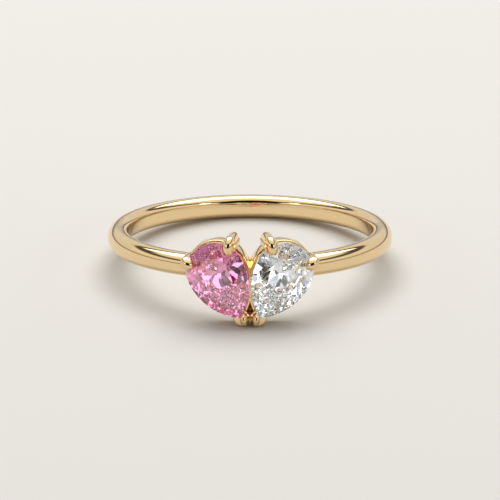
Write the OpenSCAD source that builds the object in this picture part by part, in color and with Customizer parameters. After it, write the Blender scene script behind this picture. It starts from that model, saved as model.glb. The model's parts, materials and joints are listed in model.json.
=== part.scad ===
// Toi et moi ring: two pear cut stones side by side in open claw baskets on a slim polished band.
// Millimetres. The ring lies on its side as it rests by itself: the back of the band and the two
// tip guards touch z = 0, the stones face -Y, and the pink stone is at -X.

/* [Band] */
// Inside diameter of the band, the finger size
finger_d = 17.35; // [14:0.05:22]
// Thickness of the band from the finger outwards
band_t = 1.45; // [1:0.05:2.2]
// Width of the band along the finger
band_w = 1.6; // [1.3:0.05:3]
// Radius of the outer, domed edges of the band
band_dome = 0.7; // [0.3:0.05:0.8]
// Radius of the inner, comfort edges of the band
band_ease = 0.5; // [0.1:0.05:0.6]

/* [Stones] */
// Length of each pear cut stone, round end to tip
stone_l = 5.7; // [4.5:0.1:8]
// Width of each pear cut stone
stone_w = 4.18; // [3.4:0.02:5]
// Height of the crown above the girdle
crown_h = 0.6; // [0.4:0.05:0.9]
// Thickness of the girdle
girdle_t = 0.1; // [0.06:0.01:0.2]
// Slope of the main crown facets, degrees
crown_slope = 34; // [28:1:42]
// Slope of the main pavilion facets, degrees
pavilion_slope = 41; // [38:0.5:43]

/* [Setting] */
// Distance from the finger's axis to the girdles
girdle_r = 10.9; // [10.7:0.05:12]
// Gap between the two girdles at the middle of the ring
stone_gap = 0.16; // [0.06:0.02:0.6]
// Lean of each stone's long axis away from the finger's axis, degrees
stone_lean = 29; // [20:1:34]
// Clearance between metal and stones
seat_gap = 0.04; // [0.03:0.01:0.08]
// Depth of the gallery rail's front below the girdle
rail_drop = 0.32; // [0.25:0.01:0.6]
// Height of the gallery rail
rail_h = 1.05; // [0.8:0.01:1.4]
// How far the rail's outer wall stands out from the stone
rail_out = 0.14; // [0.08:0.01:0.25]
// Thickness of the rail's wall
rail_t = 0.3; // [0.2:0.01:0.45]
// Diameter of the light holes under the stones
azure_d = 1.0; // [0.6:0.1:1.2]

/* [Claws] */
// Width of each shoulder claw
shoulder_claw_w = 0.9; // [0.6:0.02:1]
// Length of each shoulder claw, seen from the front
shoulder_claw_l = 1.2; // [1:0.05:1.4]
// Width of each inner claw
inner_claw_w = 0.98; // [0.7:0.02:1.1]
// Length of each inner claw, seen from the front
inner_claw_l = 1.55; // [1.2:0.05:1.7]
// Height of the claws above the girdle
claw_top = 0.72; // [0.6:0.02:1]
// Place of the shoulder claw's end, degrees from the stone's long axis
shoulder_claw_at = 46; // [40:1:56]
// Place of the inner claw's end, degrees from the stone's long axis
inner_claw_at = 58; // [50:1:66]
// Radius of the wall that guards each tip
guard_r = 0.65; // [0.5:0.01:0.8]
// Radius of that wall at its rear end
guard_rear_r = 0.32; // [0.25:0.01:0.6]
// Width of the small claw on each tip
tip_claw_w = 0.56; // [0.4:0.02:0.7]

/* [Hidden] */
$fn = 96;
over = 0.01;
// How far a cutter reaches past what it cuts
past = 1;
// Size of the blocks that stand for a facet's side of space
far = 30;

finger_r = finger_d / 2;
band_r = finger_r + band_t;

// The pear is a half circle and two flank arcs that meet at the tip
head_r = stone_w / 2;
tip_y = stone_l - head_r;
flank_r = (head_r * head_r + tip_y * tip_y) / stone_w;
flank_c = flank_r - head_r;
flank_arc = atan2(tip_y, flank_c);

// Facets: azimuths from the round end, for one side of the stone
mains = [45, 90, 90 + flank_arc / 2];
stars = [22.5, 67.5, 90 + flank_arc / 4, 90 + flank_arc * 3 / 4];
star_half = [22.5, 22.5, flank_arc / 4, flank_arc / 4];
halves = [11.25, 33.75, 56.25, 78.75,
          for (i = [1, 3, 5, 7]) 90 + flank_arc * i / 8];
// The half facets are a little steeper than the mains, so they end short of the table and the point
half_slope = crown_slope + 5;
star_slope = crown_slope - 12;
under_half_slope = pavilion_slope + 0.7;
// Eight flatter facets round the stone's point, and how far from the centre they start
point_slope = pavilion_slope - 3.5;
point_reach = 0.45;
crown_run = crown_h / tan(crown_slope);
table_tip = sqrt(pow(flank_r - crown_run, 2) - flank_c * flank_c);
tip_slope = atan2(crown_h, tip_y - table_tip);

// Each head sits radially, turned just so far that the girdles keep their gap
inner_reach = flank_r - flank_c * cos(stone_lean);
head_angle = atan2(inner_reach, girdle_r) + asin(stone_gap / 2 / norm([inner_reach, girdle_r]));
basket_h = rail_drop + rail_h;
// What the basket keeps as its floor where the band passes behind it
floor_t = 0.15;
// How far the round end of each claw lies inside the stone's outline
shoulder_claw_in = 0.22;
inner_claw_in = 0.25;
// How far each claw is turned from the stone's long axis
shoulder_claw_turn = -26;
inner_claw_turn = stone_lean + 9;
// The stone's tip, seen from the front
tip_u = -tip_y * sin(stone_lean);
tip_w = -tip_y * cos(stone_lean);
// The guard's centre lies a little beyond the tip
guard_beyond = 0.06;
guard_u = tip_u - guard_beyond * sin(stone_lean);
guard_w = tip_w - guard_beyond * cos(stone_lean);
guard_top = -0.06;
// The small claw's round end, from the tip
tip_claw_side = -0.25;
tip_claw_up = 0.1;
tip_claw_turn = 172;
tip_claw_top = 0.46;
tip_claw_l = 0.95;
tip_claw_deep = 0.5;
// The bar that ties the two baskets together behind the tips
tie_r = 0.3;
tie_reach = girdle_r - 1;
tie_w = tip_w + 0.2;
// The dip in the band's upper edge between the heads
dip_r = 0.5;
dip_depth = 0.2;

// The ring rests on the guards' front edges and on the back of the band
guard_reach = (girdle_r + guard_top) * cos(head_angle) - guard_u * sin(head_angle);
dome_c = band_w / 2 - band_dome;
rest_y = guard_reach + band_r - band_dome;
rest_w = guard_w - guard_r + dome_c;
rest_tilt = -asin(band_dome / norm([rest_y, rest_w])) - atan2(rest_w, rest_y);
rest_lift = (band_r - band_dome) * sin(rest_tilt) + dome_c * cos(rest_tilt) + band_dome;
front_reach = (girdle_r + tip_claw_top) * cos(head_angle) - tip_u * sin(head_angle);
front_y = -front_reach * cos(rest_tilt) + tip_w * sin(rest_tilt);
back_y = band_r * cos(rest_tilt) + dome_c * sin(rest_tilt);
rest_shift = -(front_y + back_y) / 2;

// Distance from the stone's centre to the outline's edge that faces a given azimuth
function reach(az) =
    az <= 90 ? head_r :
    az <= 90 + flank_arc ? flank_r - flank_c * sin(az) :
    -tip_y * cos(az);
// The same for the table's corners, which lie on the outline drawn in by the crown's width
function table_reach(az, half) =
    az <= 90 ? (head_r - crown_run) * cos(half) :
    (flank_r - crown_run) * cos(half) - flank_c * sin(az);

// The pear outline, grown or shrunk by an even margin
module pear(grow = 0) {
    circle(r = head_r + grow);
    intersection() {
        translate([flank_c, 0]) circle(r = flank_r + grow);
        translate([-flank_c, 0]) circle(r = flank_r + grow);
        translate([-stone_l, -2 * stone_l]) square([2 * stone_l, 2 * stone_l]);
    }
}

// All that lies below a sloping crown facet that starts at a given distance and height
module under_facet(az, slope, dist, z, grow) {
    rotate([0, 0, -az]) translate([0, dist, z]) rotate([-slope, 0, 0])
        translate([-far / 2, -far / 2, grow - far]) cube(far);
}

// All that lies above a sloping pavilion facet
module over_facet(az, slope, dist, z, grow) {
    rotate([0, 0, -az]) translate([0, dist, z]) rotate([slope, 0, 0])
        translate([-far / 2, -far / 2, -grow]) cube(far);
}

// A facet and its twin on the other side of the long axis
module pair_under(az, slope, dist, z, grow) {
    intersection() {
        under_facet(az, slope, dist, z, grow);
        under_facet(-az, slope, dist, z, grow);
    }
}

module pair_over(az, slope, dist, z, grow) {
    intersection() {
        over_facet(az, slope, dist, z, grow);
        over_facet(-az, slope, dist, z, grow);
    }
}

// A cut stone with its girdle at z = 0 and its table up, grown evenly for a seat
module cut_stone(grow = 0) {
    top = girdle_t / 2;
    intersection() {
        translate([0, 0, -stone_w]) linear_extrude(stone_w + top + crown_h + grow) pear(grow);
        // Crown
        under_facet(0, crown_slope, reach(0), top, grow);
        intersection_for(az = mains)
            pair_under(az, crown_slope, reach(az), top, grow);
        under_facet(180, tip_slope, tip_y, top, grow);
        intersection_for(az = halves)
            pair_under(az, half_slope, reach(az), top, grow);
        intersection_for(i = [0:len(stars) - 1])
            pair_under(stars[i], star_slope, table_reach(stars[i], star_half[i]), top + crown_h, grow);
        // Pavilion
        over_facet(0, pavilion_slope, reach(0), -top, grow);
        intersection_for(az = mains)
            pair_over(az, pavilion_slope, reach(az), -top, grow);
        over_facet(180, pavilion_slope, tip_y, -top, grow);
        intersection_for(az = halves)
            pair_over(az, under_half_slope, reach(az), -top, grow);
        intersection_for(az = stars)
            pair_over(az, point_slope, point_reach * reach(az),
                      -top - (1 - point_reach) * reach(az) * tan(pavilion_slope), grow);
    }
}

// Puts a thing drawn round a stone's centre into the right-hand head
module in_head() {
    rotate([0, 0, head_angle]) rotate([90, 0, 0]) translate([0, 0, girdle_r]) children();
}

module both_heads() {
    in_head() children();
    mirror([1, 0, 0]) in_head() children();
}

// Turns a thing drawn along the stone's long axis to the stone's lean
module lean() {
    rotate([0, 0, -stone_lean]) children();
}

// Lays the finished ring down as it rests
module at_rest() {
    translate([0, rest_shift, rest_lift]) rotate([-rest_tilt, 0, 0]) children();
}

module band_section() {
    translate([finger_r, -band_w / 2 + band_ease]) square([band_t - band_dome, band_w - 2 * band_ease]);
    translate([finger_r + band_ease, -band_w / 2]) square([band_t - band_dome - band_ease, band_w]);
    translate([band_r - band_dome - over, -dome_c]) square([band_dome + over, 2 * dome_c]);
    for (side = [-1, 1]) {
        translate([finger_r + band_ease, side * (band_w / 2 - band_ease)]) circle(r = band_ease);
        translate([band_r - band_dome, side * dome_c]) circle(r = band_dome);
    }
}

module band() {
    difference() {
        rotate_extrude($fn = 180) band_section();
        translate([0, -finger_r + past, band_w / 2 - dip_depth + dip_r])
            rotate([90, 0, 0]) cylinder(r = dip_r, h = band_t + 2 * past);
    }
}

// The open pear-shaped wall under each stone
module rail() {
    translate([0, 0, -basket_h]) linear_extrude(rail_h) difference() {
        pear(rail_out);
        pear(rail_out - rail_t);
    }
}

// A claw whose rounded end is at the origin, and which stands away from it towards +Y
module claw(w, l, top, deep) {
    bend = l / 2;
    middle = bend - w / 2;
    intersection() {
        translate([-w / 2, 0, 0]) rotate([90, 0, 90]) linear_extrude(w) {
            translate([middle, top - bend]) circle(r = bend);
            translate([middle, -deep]) square([bend, deep + top - bend]);
        }
        translate([0, middle, -deep]) linear_extrude(deep + top) scale([w / l, 1]) circle(r = bend);
    }
}

// A claw beside the round end, at an angle from the stone's long axis, turned from that axis
module round_end_claw(at, inside, w, l, turn) {
    dist = head_r - inside;
    translate([dist * sin(at), dist * cos(at), 0]) rotate([0, 0, turn])
        claw(w, l, claw_top, basket_h);
}

// The wall round the tip, which reaches down to the surface
module tip_guard() {
    translate([guard_u, guard_w, -basket_h])
        cylinder(r1 = guard_rear_r, r2 = guard_r, h = basket_h + guard_top);
}

// The bar that joins the two baskets behind the tips
module tie() {
    translate([tip_u, -tie_reach, tie_w]) rotate([0, 90, 0]) cylinder(r = tie_r, h = -2 * tip_u);
}

// The small claw that holds the tip from below
module tip_claw() {
    translate([tip_u + tip_claw_side, tip_w + tip_claw_up, 0]) rotate([0, 0, tip_claw_turn])
        claw(tip_claw_w, tip_claw_l, tip_claw_top, tip_claw_deep);
}

// What is cut from the metal for each stone: the stone's own seat, and the open middle of the basket
module seat() {
    cut_stone(seat_gap);
    translate([0, 0, -basket_h + floor_t]) linear_extrude(basket_h) pear(rail_out - rail_t);
}

module azure() {
    translate([0, 0, -girdle_r + finger_r - past]) cylinder(d = azure_d, h = girdle_r - finger_r + past);
}

module band_and_setting() {
    color("#e3c88f") at_rest() difference() {
        union() {
            band();
            tie();
            both_heads() {
                lean() {
                    rail();
                    round_end_claw(shoulder_claw_at, shoulder_claw_in, shoulder_claw_w, shoulder_claw_l,
                        shoulder_claw_turn);
                    round_end_claw(-inner_claw_at, inner_claw_in, inner_claw_w, inner_claw_l,
                        inner_claw_turn);
                }
                tip_guard();
                tip_claw();
            }
        }
        both_heads() lean() {
            seat();
            azure();
        }
    }
}

module pink_stone() {
    color("#dd6f9c") at_rest() mirror([1, 0, 0]) in_head() lean() cut_stone();
}

module white_stone() {
    color("#eef1f4") at_rest() in_head() lean() cut_stone();
}

band_and_setting();
pink_stone();
white_stone();
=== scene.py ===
"""Toi et moi ring: the polished gold band, two claw baskets and two pear cut stones.

The ring lies on its side on a plain pale floor. Every piece is modelled in millimetres, put in its place in
the ring's own frame, whose Z is the finger's axis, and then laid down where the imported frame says.
"""

import json
import logging
import math
from collections.abc import Callable
from dataclasses import dataclass
from enum import Enum
from typing import Any, NamedTuple

import bpy
from mathutils import Matrix, Vector

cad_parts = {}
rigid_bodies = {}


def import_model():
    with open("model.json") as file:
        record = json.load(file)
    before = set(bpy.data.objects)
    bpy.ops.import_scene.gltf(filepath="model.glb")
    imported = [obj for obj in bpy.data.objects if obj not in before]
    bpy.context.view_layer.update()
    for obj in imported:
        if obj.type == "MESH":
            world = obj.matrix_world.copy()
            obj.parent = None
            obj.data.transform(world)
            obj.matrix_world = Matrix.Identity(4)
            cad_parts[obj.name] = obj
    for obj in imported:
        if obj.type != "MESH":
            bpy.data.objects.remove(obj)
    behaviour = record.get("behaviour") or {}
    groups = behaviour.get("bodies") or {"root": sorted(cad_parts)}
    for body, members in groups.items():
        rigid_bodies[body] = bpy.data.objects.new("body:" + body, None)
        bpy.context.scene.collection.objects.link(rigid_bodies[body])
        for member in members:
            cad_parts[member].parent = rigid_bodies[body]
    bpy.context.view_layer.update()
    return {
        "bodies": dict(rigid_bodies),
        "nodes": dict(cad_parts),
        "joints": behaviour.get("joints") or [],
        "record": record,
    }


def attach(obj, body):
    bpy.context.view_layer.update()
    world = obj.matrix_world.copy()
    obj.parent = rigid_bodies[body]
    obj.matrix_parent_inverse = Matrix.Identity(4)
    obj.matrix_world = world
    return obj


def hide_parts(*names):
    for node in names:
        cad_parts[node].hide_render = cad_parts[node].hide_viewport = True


MM = 0.001
# Vertices that lie closer than this, in millimetres, are one.
MERGE = 1e-4
CUT_MERGE = MERGE / 10
# A face whose normal has more than this share along an axis is square to that axis.
FACING = 0.9
RAMP_MIDDLE = 0.5
SMOOTH_ANGLE = math.radians(35)
BODY = "root"
METAL_NODE = "band_and_setting"

Tint = tuple[float, float, float]
Color = tuple[float, float, float, float]
Stops = tuple[tuple[float, float], ...]

log = logging.getLogger("ring")


class Side(Enum):
    """The two heads, seen from the front, with the sign of their X."""

    PINK = -1
    WHITE = 1

    @property
    def word(self) -> str:
        """The side's name as it stands in the names of pieces."""
        return self.name.lower()


def deselect() -> None:
    """Leaves nothing selected, in object mode."""
    bpy.ops.object.select_all(action="DESELECT")


def activate(obj: bpy.types.Object) -> None:
    """Makes an object the only selected and the active one.

    Args:
        obj: the object to work on.
    """
    deselect()
    obj.select_set(True)
    bpy.context.view_layer.objects.active = obj


def named(name: str) -> bpy.types.Object:
    """Names the object that was just added, and its mesh.

    Args:
        name: the piece's name.

    Returns:
        The active object.
    """
    obj = bpy.context.active_object
    obj.name = name
    obj.data.name = name
    return obj


def edit(select: str = "SELECT") -> None:
    """Opens edit mode on the active object.

    Args:
        select: SELECT or DESELECT, for all that the mesh holds.
    """
    bpy.ops.object.mode_set(mode="EDIT")
    bpy.ops.mesh.select_all(action=select)


def leave() -> None:
    """Goes back to object mode."""
    bpy.ops.object.mode_set(mode="OBJECT")


def pick_vertices(obj: bpy.types.Object, test: Callable[[Vector], bool]) -> None:
    """Selects the vertices that pass a test, and opens edit mode on them.

    Args:
        obj: the active mesh object, in object mode.
        test: a function from a vertex's place to true or false.
    """
    edit("DESELECT")
    bpy.ops.mesh.select_mode(type="VERT")
    leave()
    for vertex in obj.data.vertices:
        vertex.select = test(vertex.co)
    bpy.ops.object.mode_set(mode="EDIT")


def pick_faces(obj: bpy.types.Object, test: Callable[[Vector, Vector], bool]) -> None:
    """Selects the faces that pass a test, and opens edit mode on them.

    Args:
        obj: the active mesh object, in object mode.
        test: a function from a face's middle and normal to true or false.
    """
    edit("DESELECT")
    bpy.ops.mesh.select_mode(type="FACE")
    leave()
    for face in obj.data.polygons:
        face.select = test(face.center, face.normal)
    bpy.ops.object.mode_set(mode="EDIT")


def tidy_normals() -> None:
    """Merges doubles and turns all faces outwards, in edit mode."""
    bpy.ops.mesh.select_all(action="SELECT")
    bpy.ops.mesh.remove_doubles(threshold=MERGE)
    bpy.ops.mesh.normals_make_consistent(inside=False)


def apply_modifier(obj: bpy.types.Object, kind: str, **values: Any) -> None:
    """Adds a modifier with its values and applies it at once.

    Args:
        obj: the object that gets it.
        kind: the modifier's type.
        values: its settings.
    """
    activate(obj)
    modifier = obj.modifiers.new(kind.title(), kind)
    for name, value in values.items():
        setattr(modifier, name, value)
    bpy.ops.object.modifier_apply(modifier=modifier.name)


def cut_away(obj: bpy.types.Object, cutter: bpy.types.Object) -> None:
    """Takes one solid from another.

    Args:
        obj: the solid that is cut.
        cutter: the solid that is taken away, which stays.
    """
    apply_modifier(obj, "BOOLEAN", operation="DIFFERENCE", object=cutter, solver="EXACT")


def copy_of(obj: bpy.types.Object, name: str) -> bpy.types.Object:
    """Copies an object with a mesh of its own.

    Args:
        obj: the object to copy.
        name: the copy's name.

    Returns:
        The copy.
    """
    twin = obj.copy()
    twin.data = obj.data.copy()
    twin.name = name
    twin.data.name = name
    bpy.context.collection.objects.link(twin)
    return twin


def remove(obj: bpy.types.Object) -> None:
    """Deletes a helper object and its mesh."""
    bpy.data.meshes.remove(obj.data)


def set_down(obj: bpy.types.Object, place: Matrix) -> None:
    """Moves a piece's mesh to its place and leaves its object at the origin.

    Args:
        obj: the piece, modelled at the origin.
        place: where it goes, mirrored or not.
    """
    activate(obj)
    obj.data.transform(place)
    if place.determinant() < 0:
        edit()
        bpy.ops.mesh.normals_make_consistent(inside=False)
        leave()


class Facet(NamedTuple):
    """A facet: the azimuth it faces, its slope (down for the pavilion), and its outer edge."""

    azimuth: float
    slope: float
    dist: float
    z: float


@dataclass(frozen=True)
class PearCut:
    """A pear cut stone: a half circle and two flank arcs that meet at the tip, with its facets.

    Its girdle lies at z = 0, its round end at +Y and its table at +Z. All sizes are millimetres.
    Azimuths are counted from the round end.
    """

    length: float = 5.7
    width: float = 4.18
    crown: float = 0.6
    pavilion_slope: float = math.radians(41)
    girdle: float = 0.1
    crown_slope: float = math.radians(34)
    half_extra: float = math.radians(5)
    star_less: float = math.radians(12)
    pavilion_extra: float = math.radians(0.7)
    point_slope: float = math.radians(37.5)
    point_reach: float = 0.45
    star_places: tuple[float, ...] = (0.25, 0.75)
    star_half: float = 0.25
    half_places: tuple[float, ...] = (0.125, 0.375, 0.625, 0.875)
    head_points: int = 96
    flank_points: int = 40

    @property
    def head_r(self) -> float:
        """Radius of the round end."""
        return self.width / 2

    @property
    def tip_y(self) -> float:
        """Distance from the round end's centre to the tip."""
        return self.length - self.head_r

    @property
    def flank_r(self) -> float:
        """Radius of the flanks."""
        return (self.head_r ** 2 + self.tip_y ** 2) / self.width

    @property
    def flank_c(self) -> float:
        """How far a flank's centre lies beyond the long axis."""
        return self.flank_r - self.head_r

    @property
    def flank_arc(self) -> float:
        """The angle that each flank turns through."""
        return math.atan2(self.tip_y, self.flank_c)

    @property
    def crown_run(self) -> float:
        """Width of the crown seen from above."""
        return self.crown / math.tan(self.crown_slope)

    def outline(self, grow: float) -> list[Vector]:
        """The pear, grown or shrunk by an even margin, counter-clockwise from the right-hand side.

        Args:
            grow: the margin.

        Returns:
            The points, the tip among them once.
        """
        head, flank = self.head_r + grow, self.flank_r + grow
        tip = math.sqrt(flank ** 2 - self.flank_c ** 2)
        arc = math.atan2(tip, self.flank_c)
        points = [Vector((head * math.cos(a), head * math.sin(a), 0))
                  for a in (math.pi * i / self.head_points for i in range(self.head_points + 1))]
        steps = [arc * i / self.flank_points for i in range(1, self.flank_points)]
        left = [Vector((self.flank_c - flank * math.cos(a), -flank * math.sin(a), 0)) for a in steps]
        right = [Vector((-p.x, p.y, 0)) for p in reversed(left)]
        return points + left + [Vector((0, -tip, 0))] + right

    def reach(self, azimuth: float) -> float:
        """How far out the girdle's edge that faces an azimuth lies.

        Args:
            azimuth: the azimuth.

        Returns:
            Its distance from the round end's centre.
        """
        if azimuth <= math.pi / 2:
            return self.head_r
        if azimuth <= math.pi / 2 + self.flank_arc:
            return self.flank_r - self.flank_c * math.sin(azimuth)
        return -self.tip_y * math.cos(azimuth)

    def table_reach(self, azimuth: float, half: float) -> float:
        """How far out the side of the table that faces an azimuth lies.

        Args:
            azimuth: the azimuth.
            half: half the angle between the two corners of that side.

        Returns:
            Its distance from the round end's centre.
        """
        if azimuth <= math.pi / 2:
            return (self.head_r - self.crown_run) * math.cos(half)
        return (self.flank_r - self.crown_run) * math.cos(half) - self.flank_c * math.sin(azimuth)

    def at_girdle(self, azimuth: float, above: float, below: float) -> list[Facet]:
        """The crown facet and the pavilion facet that meet at one place of the girdle.

        Args:
            azimuth: that place's azimuth.
            above: the crown facet's slope.
            below: the pavilion facet's slope.

        Returns:
            The two facets.
        """
        reach, top = self.reach(azimuth), self.girdle / 2
        return [Facet(azimuth, above, reach, top), Facet(azimuth, -below, reach, -top)]

    def off_girdle(self, azimuth: float, half: float) -> list[Facet]:
        """The star facet at the table and the flatter facet at the point that face one azimuth.

        Args:
            azimuth: the azimuth.
            half: half the angle that the star facet takes up.

        Returns:
            The two facets.
        """
        reach, top = self.reach(azimuth), self.girdle / 2
        inner = self.point_reach * reach
        depth = -top - (reach - inner) * math.tan(self.pavilion_slope)
        return [Facet(azimuth, self.crown_slope - self.star_less, self.table_reach(azimuth, half),
                      top + self.crown),
                Facet(azimuth, -self.point_slope, inner, depth)]

    def facets(self) -> list[Facet]:
        """Lays out the whole cut.

        Returns:
            Every facet, in the order in which they are cut.
        """
        quarter, arc = math.pi / 2, self.flank_arc
        table_tip = math.sqrt((self.flank_r - self.crown_run) ** 2 - self.flank_c ** 2)
        rows = self.at_girdle(math.pi, math.atan2(self.crown, self.tip_y - table_tip), self.pavilion_slope)
        for azimuth in (0, quarter / 2, quarter, quarter + arc / 2):
            rows += self.at_girdle(azimuth, self.crown_slope, self.pavilion_slope)
        for start, span in ((0, quarter), (quarter, arc)):
            for place in self.half_places:
                rows += self.at_girdle(start + span * place, self.crown_slope + self.half_extra,
                                       self.pavilion_slope + self.pavilion_extra)
        for start, span in ((0, quarter), (quarter, arc)):
            for place in self.star_places:
                rows += self.off_girdle(start + span * place, span * self.star_half)
        return rows + [row._replace(azimuth=-row.azimuth) for row in rows if 0 < row.azimuth < math.pi]

    def start_outline(self, name: str, grow: float, z: float, fill: str) -> bpy.types.Object:
        """Adds a circle and draws it out to the pear.

        Args:
            name: the new object's name.
            grow: the outline's margin.
            z: its height.
            fill: NOTHING or NGON.

        Returns:
            The new object, in object mode.
        """
        points = self.outline(grow)
        bpy.ops.mesh.primitive_circle_add(vertices=len(points), radius=self.head_r, fill_type=fill)
        obj = named(name)
        for vertex, point in zip(obj.data.vertices, points):
            vertex.co = point + Vector((0, 0, z))
        return obj

    def build(self, name: str, grow: float = 0.0) -> bpy.types.Object:
        """Cuts the stone from a pear-shaped blank, one facet at a time.

        Args:
            name: the new object's name.
            grow: an even margin on every face, for a seat.

        Returns:
            The cut stone, in object mode.
        """
        depth = self.width
        obj = self.start_outline(name, grow, -depth, "NGON")
        edit()
        height = depth + self.girdle / 2 + self.crown + grow
        bpy.ops.mesh.extrude_region_move(TRANSFORM_OT_translate={"value": (0, 0, height)})
        bpy.ops.mesh.select_all(action="SELECT")
        bpy.ops.mesh.normals_make_consistent(inside=False)
        for azimuth, slope, dist, z in self.facets():
            out = Vector((math.sin(azimuth), math.cos(azimuth), 0))
            normal = out * abs(math.sin(slope)) + Vector((0, 0, math.copysign(math.cos(slope), slope)))
            corner = out * dist + Vector((0, 0, z)) + normal * grow
            bpy.ops.mesh.select_all(action="SELECT")
            bpy.ops.mesh.bisect(plane_co=corner, plane_no=normal, use_fill=True, clear_outer=True,
                                threshold=CUT_MERGE)
        tidy_normals()
        leave()
        return obj


@dataclass
class Band:
    """The finger ring's hoop: a domed outside and an eased inside, with a dip between the heads."""

    finger_r: float
    thickness: float = 1.45
    width: float = 1.6
    dome: float = 0.7
    ease: float = 0.5
    dome_steps: int = 14
    ease_steps: int = 7
    turns: int = 288
    dip_depth: float = 0.2
    dip_reach: float = 0.9
    dip_core_steps: float = 0.6

    @property
    def outer_r(self) -> float:
        """Outside radius."""
        return self.finger_r + self.thickness

    def round_corners(self, obj: bpy.types.Object, side: int, radius: float, steps: int) -> None:
        """Rounds the section's two corners on one side of its middle.

        Args:
            obj: the section's object.
            side: 1 for the outside, -1 for the finger's side.
            radius: the rounding's radius.
            steps: how many edges it gets.
        """
        middle = self.finger_r + self.thickness / 2
        pick_vertices(obj, lambda co: (co.x - middle) * side > self.thickness / 2 - MERGE)
        bpy.ops.mesh.bevel(offset=radius, segments=steps, affect="VERTICES", clamp_overlap=False)
        leave()

    def build(self) -> bpy.types.Object:
        """Spins the section round the finger's axis.

        Returns:
            The band in the ring's frame, in millimetres.
        """
        middle = self.finger_r + self.thickness / 2
        bpy.ops.mesh.primitive_plane_add(size=1, location=(0, 0, 0))
        obj = named("band")
        obj.data.transform(Matrix.Translation((middle, 0, 0)) @ Matrix.Rotation(math.pi / 2, 4, "X")
                           @ Matrix.Diagonal((self.thickness, self.width, 1, 1)))
        self.round_corners(obj, 1, self.dome, self.dome_steps)
        self.round_corners(obj, -1, self.ease, self.ease_steps)
        edit()
        bpy.ops.mesh.delete(type="ONLY_FACE")
        bpy.ops.mesh.select_all(action="SELECT")
        bpy.ops.mesh.spin(steps=self.turns, angle=2 * math.pi, center=(0, 0, 0), axis=(0, 0, 1))
        tidy_normals()
        leave()
        self.press_dip(obj)
        return obj

    def press_dip(self, obj: bpy.types.Object) -> None:
        """Lowers the upper edge between the two heads.

        Args:
            obj: the spun band.
        """
        core = self.dip_core_steps * 2 * math.pi * self.outer_r / self.turns
        high = self.width / 2 - self.ease / 2
        pick_vertices(obj, lambda co: abs(co.x) < core and co.y < 0 and co.z > high)
        bpy.ops.transform.translate(
            value=(0, 0, -self.dip_depth), use_proportional_edit=True,
            proportional_edit_falloff="SMOOTH", proportional_size=self.dip_reach)
        leave()


@dataclass(frozen=True)
class Claw:
    """A prong whose rounded end bends over the stone. It stands away from its end towards +Y.

    Its top and its depth are heights above and below the stone's girdle.
    """

    width: float
    length: float
    top: float
    deep: float
    under: float = math.radians(35)
    round_steps: int = 24
    turns: int = 40
    foot_edge: float = 0.14
    foot_steps: int = 5

    @property
    def bend(self) -> float:
        """Radius of the bend's outside, seen from the side."""
        return self.length / 2

    def section(self) -> list[Vector]:
        """The claw cut across at its shaft.

        Returns:
            Half an oval, from the bend's axis outward.
        """
        half = self.width / 2
        arc = [math.pi * i / self.round_steps for i in range(self.round_steps + 1)]
        return [Vector((half * math.cos(a), self.bend * math.sin(a), 0)) for a in arc]

    def build(self, name: str) -> bpy.types.Object:
        """Turns the section over the bend and draws its foot out to the shaft.

        Args:
            name: the new object's name.

        Returns:
            The claw, its end's centre at the origin.
        """
        outline = self.section()
        bpy.ops.mesh.primitive_circle_add(vertices=len(outline), radius=self.bend, fill_type="NGON")
        obj = named(name)
        for vertex, place in zip(obj.data.vertices, outline):
            vertex.co = place
        edit()
        bpy.ops.mesh.spin(steps=self.turns, angle=math.pi + self.under, center=(0, 0, 0), axis=(-1, 0, 0))
        tidy_normals()
        leave()
        pick_faces(obj, lambda centre, normal: (abs(centre.z) < MERGE and centre.y > 0
                                                and abs(normal.z) > FACING))
        bpy.ops.mesh.extrude_region_move(
            TRANSFORM_OT_translate={"value": (0, 0, -(self.deep + self.top - self.bend))})
        bpy.ops.mesh.bevel(offset=self.foot_edge, segments=self.foot_steps, affect="EDGES")
        tidy_normals()
        leave()
        obj.data.transform(Matrix.Translation((0, self.bend - self.width / 2, self.top - self.bend)))
        return obj


@dataclass(frozen=True)
class RoundEndClaw:
    """A claw beside the round end: its place from the stone's long axis, its size and its own turn."""

    name: str
    at: float
    inside: float
    width: float
    length: float
    turn: float


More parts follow.
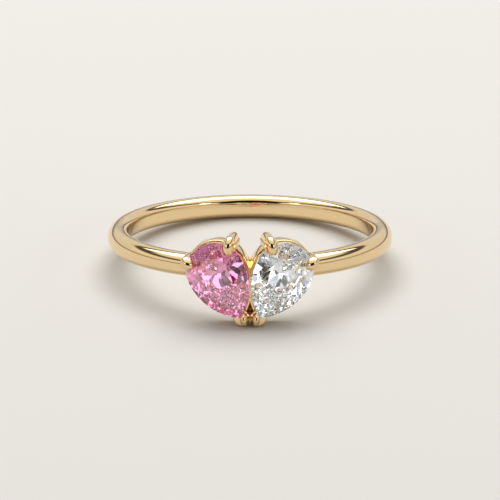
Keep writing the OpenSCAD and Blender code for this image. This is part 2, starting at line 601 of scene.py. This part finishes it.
@dataclass
class Head:
    """One open basket with its claws, its tip guard and the place of its stone.

    It is modelled as the right-hand head, in a frame whose Z points away from the finger and whose
    z = 0 is the stone's girdle.
    """

    stone: PearCut
    girdle_r: float = 10.9
    stone_gap: float = 0.16
    lean: float = math.radians(29)
    seat_gap: float = 0.04
    rail_drop: float = 0.32
    rail_h: float = 1.05
    rail_out: float = 0.14
    rail_t: float = 0.3
    rail_edge: float = 0.07
    rail_edge_steps: int = 4
    rail_edge_angle: float = math.radians(50)
    floor_t: float = 0.15
    light_hole_d: float = 1.0
    shoulder: RoundEndClaw = RoundEndClaw("shoulder_claw", at=math.radians(46), inside=0.22, width=0.9,
                                          length=1.2, turn=math.radians(-26))
    inner: RoundEndClaw = RoundEndClaw("inner_claw", at=math.radians(-58), inside=0.25, width=0.98,
                                       length=1.55, turn=math.radians(38))
    claw_top: float = 0.72
    guard_r: float = 0.65
    guard_rear_r: float = 0.32
    guard_beyond: float = 0.06
    guard_top: float = -0.06
    guard_edge: float = 0.16
    blend_grain: float = 0.025
    blend_strength: float = 0.5
    blend_rounds: int = 14
    tip_claw: Claw = Claw(width=0.56, length=0.95, top=0.46, deep=0.5)
    tip_claw_side: float = -0.25
    tip_claw_up: float = 0.1
    tip_claw_turn: float = math.radians(172)
    tie_r: float = 0.3
    tie_in: float = 1.0
    tie_up: float = 0.2
    tie_steps: int = 32
    round_steps: int = 64

    @property
    def basket_h(self) -> float:
        """Depth of the basket's rear edge below the girdle."""
        return self.rail_drop + self.rail_h

    @property
    def turn(self) -> float:
        """How far the head is turned round the finger, so that the two girdles keep their gap."""
        inner = self.stone.flank_r - self.stone.flank_c * math.cos(self.lean)
        return (math.atan2(inner, self.girdle_r)
                + math.asin(self.stone_gap / 2 / math.hypot(inner, self.girdle_r)))

    @property
    def tip(self) -> Vector:
        """The stone's tip, seen from the front."""
        return Vector((-self.stone.tip_y * math.sin(self.lean), -self.stone.tip_y * math.cos(self.lean), 0))

    def place(self, side: Side) -> Matrix:
        """Where the head stands in the ring's frame.

        Args:
            side: which of the two heads.

        Returns:
            The matrix from the head's own frame, whose Z points away from the finger.
        """
        right = (Matrix.Rotation(self.turn, 4, "Z") @ Matrix.Rotation(math.pi / 2, 4, "X")
                 @ Matrix.Translation((0, 0, self.girdle_r)))
        return Matrix.Diagonal((side.value, 1, 1, 1)) @ right

    def leaning(self) -> Matrix:
        """The turn from the stone's long axis to the head's upright."""
        return Matrix.Rotation(-self.lean, 4, "Z")

    def build_rail(self) -> bpy.types.Object:
        """Models the open pear-shaped wall under the stone, with rounded edges.

        Returns:
            The rail in the head's frame.
        """
        obj = self.stone.start_outline("gallery_rail", self.rail_out, -self.basket_h, "NOTHING")
        edit()
        bpy.ops.mesh.extrude_edges_move(TRANSFORM_OT_translate={"value": (0, 0, self.rail_h)})
        tidy_normals()
        leave()
        apply_modifier(obj, "SOLIDIFY", thickness=self.rail_t, offset=-1, use_even_offset=True)
        apply_modifier(obj, "BEVEL", width=self.rail_edge, segments=self.rail_edge_steps,
                       limit_method="ANGLE", angle_limit=self.rail_edge_angle, use_clamp_overlap=False)
        obj.data.transform(self.leaning())
        return obj

    def build_round_end_claw(self, spec: RoundEndClaw) -> bpy.types.Object:
        """Models a claw beside the round end.

        Args:
            spec: its place and size.

        Returns:
            The claw in the head's frame.
        """
        obj = Claw(spec.width, spec.length, self.claw_top, self.basket_h).build(spec.name)
        dist = self.stone.head_r - spec.inside
        spot = Matrix.Translation((dist * math.sin(spec.at), dist * math.cos(spec.at), 0))
        obj.data.transform(self.leaning() @ spot @ Matrix.Rotation(spec.turn, 4, "Z"))
        return obj

    def build_tip_guard(self) -> bpy.types.Object:
        """Models the wall round the tip with its small claw, grown into each other like cast metal.

        Returns:
            The guard in the head's frame.
        """
        obj = self.build_guard_wall()
        claw = self.build_tip_claw()
        apply_modifier(obj, "BOOLEAN", operation="UNION", object=claw, solver="EXACT")
        remove(claw)
        apply_modifier(obj, "REMESH", mode="VOXEL", voxel_size=self.blend_grain)
        apply_modifier(obj, "SMOOTH", factor=self.blend_strength, iterations=self.blend_rounds)
        return obj

    def build_guard_wall(self) -> bpy.types.Object:
        """Models the wall round the tip, which reaches down to the floor.

        Returns:
            The wall in the head's frame.
        """
        height = self.basket_h + self.guard_top
        beyond = self.tip + Vector((-math.sin(self.lean), -math.cos(self.lean), 0)) * self.guard_beyond
        bpy.ops.mesh.primitive_cone_add(vertices=self.round_steps, radius1=self.guard_rear_r,
                                        radius2=self.guard_r, depth=height)
        obj = named("tip_guard")
        pick_faces(obj, lambda centre, normal: normal.z > FACING)
        bpy.ops.mesh.region_to_loop()
        bpy.ops.mesh.bevel(offset=self.guard_edge, segments=self.rail_edge_steps, affect="EDGES",
                           clamp_overlap=False)
        leave()
        obj.data.transform(Matrix.Translation(beyond + Vector((0, 0, self.guard_top - height / 2))))
        return obj

    def build_tip_claw(self) -> bpy.types.Object:
        """Models the small claw that holds the tip from below.

        Returns:
            The claw in the head's frame.
        """
        obj = self.tip_claw.build("tip_claw")
        spot = Matrix.Translation(self.tip + Vector((self.tip_claw_side, self.tip_claw_up, 0)))
        obj.data.transform(spot @ Matrix.Rotation(self.tip_claw_turn, 4, "Z"))
        return obj

    def build_metal(self) -> list[bpy.types.Object]:
        """Models one head's metal and cuts the stone's seat into it.

        Returns:
            The pieces in the head's frame.
        """
        cut = [self.build_round_end_claw(spec) for spec in (self.shoulder, self.inner)]
        cut.append(self.build_tip_guard())
        cutters = [self.build_seat(), self.build_open_middle()]
        for obj in cut:
            for cutter in cutters:
                cut_away(obj, cutter)
        for cutter in cutters:
            remove(cutter)
        return [self.build_rail()] + cut

    def build_seat(self) -> bpy.types.Object:
        """Models the room that the stone needs, a little larger than the stone.

        Returns:
            The cutter in the head's frame.
        """
        obj = self.stone.build("seat", self.seat_gap)
        obj.data.transform(self.leaning())
        return obj

    def build_open_middle(self) -> bpy.types.Object:
        """Models the room inside the gallery rail, which stops above the rail's rear edge.

        Returns:
            The cutter in the head's frame.
        """
        obj = self.stone.start_outline("open_middle", self.rail_out - self.rail_t,
                                       self.floor_t - self.basket_h, "NGON")
        edit()
        bpy.ops.mesh.extrude_region_move(TRANSFORM_OT_translate={"value": (0, 0, self.basket_h)})
        bpy.ops.mesh.select_all(action="SELECT")
        bpy.ops.mesh.normals_make_consistent(inside=False)
        leave()
        obj.data.transform(self.leaning())
        return obj

    def build_light_hole(self) -> bpy.types.Object:
        """Models the round hole through the band behind the stone.

        Returns:
            The cutter in the head's frame.
        """
        bpy.ops.mesh.primitive_cylinder_add(vertices=self.round_steps, radius=self.light_hole_d / 2,
                                            depth=self.girdle_r)
        obj = named("light_hole")
        obj.data.transform(Matrix.Translation((0, 0, -self.girdle_r / 2)))
        return obj

    def cut_band(self, band: bpy.types.Object) -> None:
        """Opens the band behind both stones.

        Args:
            band: the band in the ring's frame.
        """
        for cutter in (self.build_seat(), self.build_open_middle(), self.build_light_hole()):
            for side in Side:
                tool = copy_of(cutter, f"{side.word}_{cutter.name}")
                set_down(tool, self.place(side))
                cut_away(band, tool)
                remove(tool)
            remove(cutter)

    def build_tie(self) -> bpy.types.Object:
        """Models the bar behind the tips that joins the two baskets.

        Returns:
            The bar in the ring's frame.
        """
        bpy.ops.mesh.primitive_cylinder_add(vertices=self.tie_steps, radius=self.tie_r,
                                            depth=-2 * self.tip.x)
        obj = named("tie_bar")
        pick_faces(obj, lambda centre, normal: abs(normal.z) > FACING)
        bpy.ops.mesh.bevel(offset=self.tie_r / 2, segments=self.rail_edge_steps, affect="EDGES")
        leave()
        spot = Vector((0, -(self.girdle_r - self.tie_in), self.tip.y + self.tie_up))
        obj.data.transform(Matrix.Translation(spot) @ Matrix.Rotation(math.pi / 2, 4, "Y"))
        return obj


class Nodes:
    """A node tree, built node by node."""

    def __init__(self, tree: bpy.types.NodeTree) -> None:
        """Starts work on a tree.

        Args:
            tree: a material's or a world's node tree.
        """
        self.tree = tree
        self.shader = tree.nodes.get("Principled BSDF")

    def add(self, kind: str, **values: Any) -> bpy.types.Node:
        """Adds a node; names of sockets get their default values, other names are properties.

        Args:
            kind: the node's type.
            values: its settings, with _ for a blank in a socket's name.

        Returns:
            The node.
        """
        node = self.tree.nodes.new(kind)
        for name, value in values.items():
            socket = node.inputs.get(name.replace("_", " "))
            if socket is not None and not hasattr(node, name):
                socket.default_value = value
            else:
                setattr(node, name, value)
        return node

    def link(self, source: bpy.types.Node, out: str, target: bpy.types.Node, into: str | int) -> None:
        """Links one socket to another by their names, or to the numbered input."""
        self.tree.links.new(source.outputs[out], target.inputs[into])

    def set(self, **values: Any) -> None:
        """Sets the shader's own sockets."""
        for name, value in values.items():
            self.shader.inputs[name.replace("_", " ")].default_value = value

    def noise(self, source: bpy.types.Node, out: str, **values: Any) -> bpy.types.Node:
        """Adds a noise texture.

        Args:
            source: the node that gives its coordinates.
            out: that node's output.
            values: its settings.

        Returns:
            The texture.
        """
        node = self.add("ShaderNodeTexNoise", **values)
        self.link(source, out, node, "Vector")
        return node

    def ranged(self, source: bpy.types.Node, out: str, **values: Any) -> bpy.types.Node:
        """Adds a map from one range of numbers to another, both 0 to 1 unless they are given.

        Args:
            source: the node that gives the number.
            out: that node's output.
            values: the ends of the two ranges.

        Returns:
            The map.
        """
        node = self.add("ShaderNodeMapRange", **values)
        self.link(source, out, node, "Value")
        return node

    def ramp(self, source: bpy.types.Node, out: str, stops: Stops, tint: Tint) -> bpy.types.Node:
        """Adds a colour ramp with tinted grey stops.

        Args:
            source: the node that drives it.
            out: that node's output.
            stops: place and brightness of each stop.
            tint: the colour that each brightness is multiplied with.

        Returns:
            The ramp.
        """
        node = self.add("ShaderNodeValToRGB")
        elements = node.color_ramp.elements
        while len(elements) < len(stops):
            elements.new(RAMP_MIDDLE)
        for element, (where, grey) in zip(elements, stops):
            element.position = where
            element.color = (*(grey * c for c in tint), 1)
        self.link(source, out, node, "Fac")
        return node

    def mix(self, factor: bpy.types.Node, out: str, first: bpy.types.Node | Color,
            second: bpy.types.Node | Color) -> bpy.types.Node:
        """Adds a mix of two colours.

        Args:
            factor: the node that blends them.
            out: that node's output.
            first: the colour at 0, or the node that gives it.
            second: the colour at 1, or the node that gives it.

        Returns:
            The mix.
        """
        node = self.add("ShaderNodeMixRGB")
        self.link(factor, out, node, "Fac")
        for socket, source in (("Color1", first), ("Color2", second)):
            if isinstance(source, bpy.types.Node):
                self.link(source, "Color", node, socket)
            else:
                node.inputs[socket].default_value = source
        return node

    def two_tone(self, pattern: bpy.types.Node, first: Color, second: Color) -> None:
        """Lets a noise blend the shader's base colour between two colours."""
        self.link(self.mix(pattern, "Fac", first, second), "Color", self.shader, "Base Color")


def new_material(name: str) -> tuple[bpy.types.Material, Nodes]:
    """Starts a material with a Principled shader.

    Args:
        name: the material's name.

    Returns:
        The material and its nodes.
    """
    material = bpy.data.materials.new(name)
    material.use_nodes = True
    return material, Nodes(material.node_tree)


@dataclass(frozen=True)
class PolishedGold:
    """High polish yellow gold with the faint marks that a polishing wheel leaves."""

    color: Color = (0.89, 0.69, 0.41, 1)
    deep_color: Color = (0.86, 0.63, 0.34, 1)
    roughness: float = 0.07
    rough_spread: float = 0.05
    mark_scale: float = 900.0
    mark_detail: float = 6.0
    mark_roughness: float = 0.6
    mark_stretch: float = 6.0
    bump: float = 0.03
    bump_depth: float = 0.02 * MM

    def build(self) -> bpy.types.Material:
        """Makes the material.

        Returns:
            The material.
        """
        material, nodes = new_material("polished_gold")
        nodes.set(Metallic=1.0)
        place = nodes.add("ShaderNodeTexCoord")
        stretch = nodes.add("ShaderNodeMapping", Scale=(1, 1, self.mark_stretch))
        nodes.link(place, "Object", stretch, "Vector")
        marks = nodes.noise(stretch, "Vector", Scale=self.mark_scale, Detail=self.mark_detail,
                            Roughness=self.mark_roughness)
        nodes.two_tone(marks, self.color, self.deep_color)
        rough = nodes.ranged(marks, "Fac", To_Min=self.roughness - self.rough_spread / 2,
                             To_Max=self.roughness + self.rough_spread)
        nodes.link(rough, "Result", nodes.shader, "Roughness")
        bump = nodes.add("ShaderNodeBump", Strength=self.bump, Distance=self.bump_depth)
        nodes.link(marks, "Fac", bump, "Height")
        nodes.link(bump, "Normal", nodes.shader, "Normal")
        return material


@dataclass(frozen=True)
class Gem:
    """A clear cut gem: its body colour, how strongly it bends light, and its fine inner clouding."""

    name: str
    color: Color
    cloud_color: Color
    ior: float = 2.42
    cloud_scale: float = 700.0
    cloud_detail: float = 3.0

    def build(self) -> bpy.types.Material:
        """Makes the material.

        Returns:
            The material.
        """
        material, nodes = new_material(self.name)
        nodes.set(Roughness=0.0, IOR=self.ior, Transmission_Weight=1.0)
        place = nodes.add("ShaderNodeTexCoord")
        cloud = nodes.noise(place, "Object", Scale=self.cloud_scale, Detail=self.cloud_detail)
        nodes.two_tone(cloud, self.color, self.cloud_color)
        return material


PINK_GEM = Gem("pink_gem", color=(0.83, 0.24, 0.49, 1), cloud_color=(0.89, 0.34, 0.55, 1))
WHITE_GEM = Gem("white_gem", color=(0.87, 0.94, 1.0, 1), cloud_color=(0.91, 0.96, 1.0, 1))


@dataclass(frozen=True)
class PaleFloor:
    """The plain pale floor under the ring, matt and very slightly uneven in tone."""

    size: float = 3.0
    color: Color = (0.75, 0.74, 0.715, 1)
    shade: float = 0.97
    roughness: float = 0.9
    noise_scale: float = 9.0
    noise_detail: float = 2.0

    def build(self) -> None:
        """Adds the floor and its material."""
        bpy.ops.mesh.primitive_plane_add(size=self.size)
        floor = named("floor")
        material, nodes = new_material("pale_floor")
        nodes.set(Roughness=self.roughness)
        place = nodes.add("ShaderNodeTexCoord")
        noise = nodes.noise(place, "Object", Scale=self.noise_scale, Detail=self.noise_detail)
        red, green, blue, alpha = self.color
        darker = (self.shade * red, self.shade * green, self.shade * blue, alpha)
        nodes.two_tone(noise, self.color, darker)
        floor.data.materials.append(material)


@dataclass(frozen=True)
class Softbox:
    """A rectangular soft light that looks at the ring, in metres and watts."""

    name: str
    spot: tuple[float, float, float]
    size: tuple[float, float]
    power: float

    def build(self) -> None:
        """Adds the light."""
        data = bpy.data.lights.new(self.name, "AREA")
        data.shape = "RECTANGLE"
        data.size, data.size_y = self.size
        data.energy = self.power
        lamp = bpy.data.objects.new(self.name, data)
        lamp.location = self.spot
        lamp.rotation_euler = (-Vector(self.spot)).to_track_quat("-Z", "Y").to_euler()
        bpy.context.collection.objects.link(lamp)


@dataclass(frozen=True)
class Room:
    """The room: bright walls, a dark gap below a bright ceiling, and a dark place round the camera.

    A direction's Z is its height on the walls' ramps, and its Y says how far it looks to the back. Rays that
    leave a stone see small bright cards in place of the walls.
    """

    white: Tint = (1.0, 0.985, 0.96)
    warm: Tint = (1.0, 0.95, 0.88)
    cool: Tint = (0.90, 0.955, 1.0)
    black: Color = (0.01, 0.01, 0.01, 1)
    back_from: float = 0.60
    front_from: float = 0.35
    back_stops: Stops = (
        (0.0, 0.04), (0.05, 0.30), (0.11, 0.78), (0.46, 0.82), (0.50, 0.08), (0.68, 0.08), (0.72, 0.90))
    front_stops: Stops = (
        (0.0, 0.25), (0.08, 0.42), (0.18, 0.82), (0.42, 0.98), (0.50, 0.10), (0.62, 0.10), (0.68, 0.92),
        (1.0, 1.0))
    dark_camera: float = math.radians(27)
    dark_camera_edge: float = math.radians(32)
    diffuse_fill: float = 0.705
    gem_glare: float = 0.3
    card_scale: float = 5.0
    card_detail: float = 1.0
    card_stops: Stops = ((0.44, 0.0), (0.47, 0.35), (0.53, 1.0), (0.56, 2.8))

    def add_walls(self, nodes: Nodes, place: bpy.types.Node) -> bpy.types.Node:
        """Adds the front and the back walls, which blend into each other at the sides.

        Args:
            nodes: the world's nodes.
            place: the node that gives the direction.

        Returns:
            The node that gives the walls' colour.
        """
        split = nodes.add("ShaderNodeSeparateXYZ")
        nodes.link(place, "Generated", split, "Vector")
        back = nodes.ramp(split, "Z", self.back_stops, self.white)
        front = nodes.ramp(split, "Z", self.front_stops, self.warm)
        side = nodes.ranged(split, "Y", From_Min=self.back_from, From_Max=self.front_from)
        return nodes.mix(side, "Result", back, front)

    def add_dark_place(self, nodes: Nodes, place: bpy.types.Node, toward_camera: Vector) -> bpy.types.Node:
        """Adds the mask of the dark place round the photograph's camera.

        Args:
            nodes: the world's nodes.
            place: the node that gives the direction.
            toward_camera: the direction in which that camera stands.

        Returns:
            The node that is 1 in the dark place.
        """
        aim = nodes.add("ShaderNodeVectorMath", operation="DOT_PRODUCT")
        aim.inputs[1].default_value = toward_camera
        nodes.link(place, "Generated", aim, "Vector")
        return nodes.ranged(aim, "Value", From_Min=math.cos(self.dark_camera_edge),
                            From_Max=math.cos(self.dark_camera))

    def add_strength(self, nodes: Nodes, path: bpy.types.Node) -> bpy.types.Node:
        """Dims the room for matt surfaces, and in the stones' outer mirror image.

        Args:
            nodes: the world's nodes.
            path: the node that says what kind a ray is.

        Returns:
            The node that gives the strength.
        """
        fill = nodes.ranged(path, "Is Diffuse Ray", To_Min=1.0, To_Max=self.diffuse_fill)
        glare = nodes.add("ShaderNodeMath", operation="SUBTRACT", use_clamp=True)
        nodes.link(path, "Is Singular Ray", glare, 0)
        nodes.link(path, "Is Transmission Ray", glare, 1)
        calm = nodes.ranged(glare, "Value", To_Min=1.0, To_Max=self.gem_glare)
        strength = nodes.add("ShaderNodeMath", operation="MULTIPLY")
        nodes.link(fill, "Result", strength, 0)
        nodes.link(calm, "Result", strength, 1)
        return strength

    def build(self, toward_camera: Vector) -> None:
        """Makes the world.

        Args:
            toward_camera: the direction in which the photograph's camera stands.
        """
        world = bpy.data.worlds.new("room")
        bpy.context.scene.world = world
        world.use_nodes = True
        nodes = Nodes(world.node_tree)
        place = nodes.add("ShaderNodeTexCoord")
        path = nodes.add("ShaderNodeLightPath")
        walls = self.add_walls(nodes, place)
        room = nodes.mix(self.add_dark_place(nodes, place, toward_camera), "Result", walls, self.black)
        spots = nodes.noise(place, "Generated", Scale=self.card_scale, Detail=self.card_detail)
        cards = nodes.ramp(spots, "Fac", self.card_stops, self.cool)
        seen = nodes.mix(path, "Is Transmission Ray", room, cards)
        backdrop = nodes.tree.nodes["Background"]
        nodes.link(seen, "Color", backdrop, "Color")
        nodes.link(self.add_strength(nodes, path), "Value", backdrop, "Strength")


@dataclass(frozen=True)
class Studio:
    """The pale floor, the room, the soft lights and the camera at the photograph's angle."""

    floor: PaleFloor = PaleFloor()
    room: Room = Room()
    softboxes: tuple[Softbox, ...] = (
        Softbox("softbox_above", (0.0, 0.21, 0.405), (0.56, 0.36), 1.85),
        Softbox("softbox_left", (-0.30, -0.28, 0.19), (0.08, 0.08), 0.05),
        Softbox("softbox_right", (0.30, -0.28, 0.19), (0.08, 0.08), 0.05))
    frame_px: float = 500.0
    ring_row_px: float = 236.0
    px_per_mm: float = 14.03
    elevation: float = math.radians(13.9)
    distance: float = 380 * MM
    clip_start: float = 19 * MM
    sensor_mm: float = 36.0
    light_bounces: int = 24

    def add_camera(self, centre: Vector, angle: float, toward_camera: Vector) -> None:
        """Aims the camera so that the band's centre falls on its row of pixels.

        Args:
            centre: the band's centre.
            angle: how far the camera looks down.
            toward_camera: the direction in which it stands.
        """
        up = Vector((0, math.sin(angle), math.cos(angle)))
        aim = centre - up * ((self.frame_px / 2 - self.ring_row_px) / self.px_per_mm * MM)
        data = bpy.data.cameras.new("camera")
        data.sensor_width = self.sensor_mm
        data.lens = self.px_per_mm * self.sensor_mm * self.distance / MM / self.frame_px
        data.clip_start = self.clip_start
        camera = bpy.data.objects.new("camera", data)
        camera.location = aim + toward_camera * self.distance
        camera.rotation_euler = (math.pi / 2 - angle, 0, 0)
        bpy.context.collection.objects.link(camera)
        bpy.context.scene.camera = camera

    def build(self, centre: Vector, tilt: float) -> None:
        """Sets up camera, floor, room and lights.

        Args:
            centre: the band's centre.
            tilt: how far the finger's axis leans from upright.
        """
        angle = self.elevation + tilt
        toward_camera = Vector((0, -math.cos(angle), math.sin(angle)))
        self.add_camera(centre, angle, toward_camera)
        self.floor.build()
        self.room.build(toward_camera)
        for softbox in self.softboxes:
            softbox.build()
        paths = bpy.context.scene.cycles
        paths.max_bounces = self.light_bounces
        paths.glossy_bounces = self.light_bounces
        paths.transmission_bounces = self.light_bounces
        view = bpy.context.scene.view_settings
        view.view_transform = "Standard"
        view.look = "None"


@dataclass
class Ring:
    """The whole ring: band, two heads and two stones, laid down as the frame says."""

    centre: Vector
    tilt: float
    band: Band
    head: Head

    @classmethod
    def from_frame(cls, frame: dict[str, Any]) -> "Ring":
        """Reads the finger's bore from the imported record.


        Returns:
            The ring.
        """
        bore = next(m for m in frame["record"]["mounts"] if m["name"] == "finger_bore")
        axis = bore["axis"]
        return cls(Vector(bore["pos_m"]), math.atan2(axis[1], axis[2]),
                   Band(bore["dims"]["r_mm"]), Head(PearCut()))

    @property
    def lay(self) -> Matrix:
        """From the ring's frame in millimetres to where it rests, in metres."""
        return (Matrix.Translation(self.centre) @ Matrix.Rotation(-self.tilt, 4, "X")
                @ Matrix.Scale(MM, 4))

    def finish(self, obj: bpy.types.Object, place: Matrix, material: bpy.types.Material,
               smooth: bool) -> None:
        """Lays a piece down, dresses it and says what it rides on.

        Args:
            obj: the piece.
            place: its place in the ring's frame.
            material: its finish.
            smooth: whether its faces blend into each other.
        """
        activate(obj)
        edit()
        tidy_normals()
        bpy.ops.mesh.dissolve_degenerate(threshold=MERGE)
        leave()
        set_down(obj, self.lay @ place)
        obj.data.materials.clear()
        obj.data.materials.append(material)
        activate(obj)
        if smooth:
            bpy.ops.object.shade_smooth_by_angle(angle=SMOOTH_ANGLE)
        else:
            bpy.ops.object.shade_flat()
        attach(obj, BODY)
        log.info("%s: %d faces", obj.name, len(obj.data.polygons))

    def build_metal(self, gold: bpy.types.Material) -> None:
        """Makes the band, the two baskets and the bar between them.

        Args:
            gold: the metal's finish.
        """
        band = self.band.build()
        self.head.cut_band(band)
        self.finish(band, Matrix(), gold, True)
        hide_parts(METAL_NODE)
        self.finish(self.head.build_tie(), Matrix(), gold, True)
        masters = self.head.build_metal()
        for side in Side:
            for master in masters:
                piece = copy_of(master, f"{side.word}_{master.name}")
                self.finish(piece, self.head.place(side), gold, True)
        for master in masters:
            remove(master)

    def build_stones(self, gems: dict[Side, Gem]) -> None:
        """Cuts and sets the two stones.

        Args:
            gems: each side's gem.
        """
        for side, gem in gems.items():
            stone = self.head.stone.build(f"{side.word}_cut_stone")
            place = self.head.place(side) @ self.head.leaning()
            self.finish(stone, place, gem.build(), False)
            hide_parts(f"{side.word}_stone")


def main() -> None:
    """Builds the ring and the studio round it."""
    logging.basicConfig(level=logging.INFO, format="%(message)s")
    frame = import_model()
    deselect()
    ring = Ring.from_frame(frame)
    Studio().build(ring.centre, ring.tilt)
    ring.build_metal(PolishedGold().build())
    ring.build_stones({Side.PINK: PINK_GEM, Side.WHITE: WHITE_GEM})


if __name__ == "__main__":
    main()
